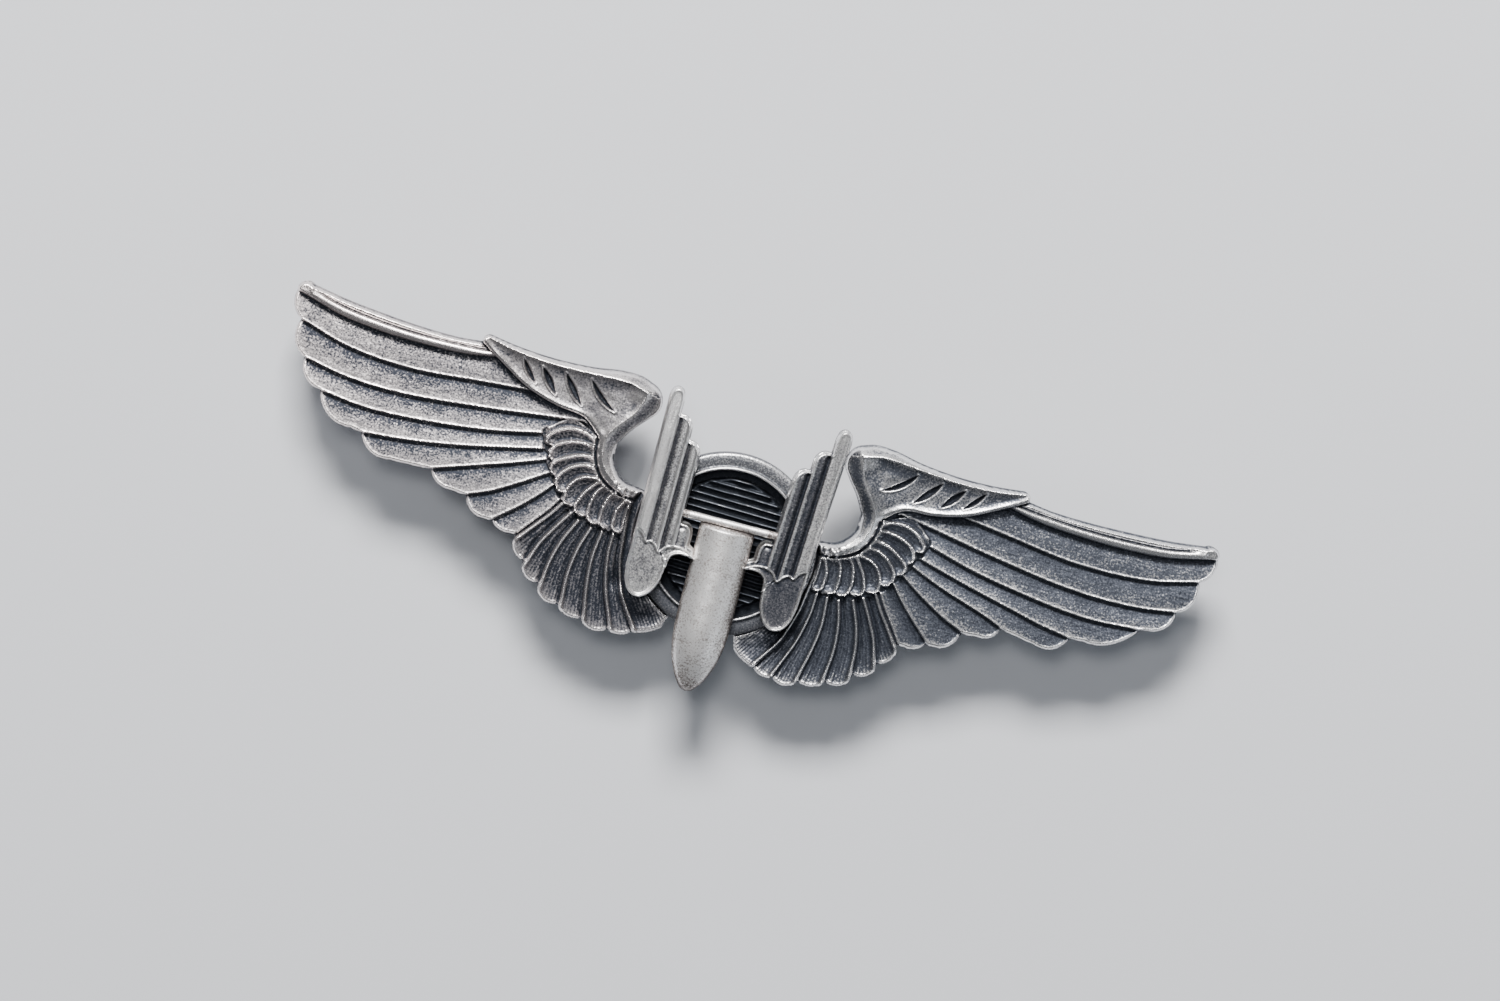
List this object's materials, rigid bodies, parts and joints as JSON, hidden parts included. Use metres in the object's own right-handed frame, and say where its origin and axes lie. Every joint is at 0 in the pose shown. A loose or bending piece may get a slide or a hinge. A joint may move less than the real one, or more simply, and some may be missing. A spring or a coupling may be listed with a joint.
{
  "type": "aircrew wings pin",
  "caption": "Oxidised silver wings badge: feathered wings, ribbed ring and a winged bullet, with a hinged pin and turning safety catch behind.",
  "frame": {"origin": "centre of the disc's flat back, in the plane that lies against the cloth", "axes": "+X along the span towards the catch, +Y towards the top of the badge, +Z out of its front"},
  "size_m": [0.076, 0.0235, 0.0084],
  "materials": {
    "struck_silver": "oxidised antique silver, frosted, worn bright on the ridges",
    "dark_silver": "oxidised antique silver, dark between bright ribs",
    "bright_silver": "fine frosted bright silver",
    "fitting": "tarnished nickel silver",
    "pin_wire": "drawn and polished wire"
  },
  "bodies": {
    "badge": {"left_wing": "struck_silver", "right_wing": "struck_silver", "centre_ring": "struck_silver", "ribbed_disc": "dark_silver", "bullet": "bright_silver", "left_winglet": "struck_silver", "right_winglet": "struck_silver", "cross_bar": "bright_silver", "hinge_pad": "fitting", "hinge_bracket": "fitting", "hinge_rivet": "fitting", "catch_pad": "fitting", "catch_housing": "fitting"},
    "stem": {"pin_stem": "pin_wire"},
    "rotor": {"catch_rotor": "fitting"}
  },
  "joints": [
    {"name": "pin_hinge", "type": "hinge", "parent": "badge", "child": "stem", "pos_m": [-0.017, 0.001, -0.0026], "axis": [0, 1, 0], "range_deg": [0, 95]},
    {"name": "catch_turn", "type": "hinge", "parent": "badge", "child": "rotor", "pos_m": [0.017, 0.001, -0.0026], "axis": [1, 0, 0], "range_deg": [0, 110]}
  ]
}
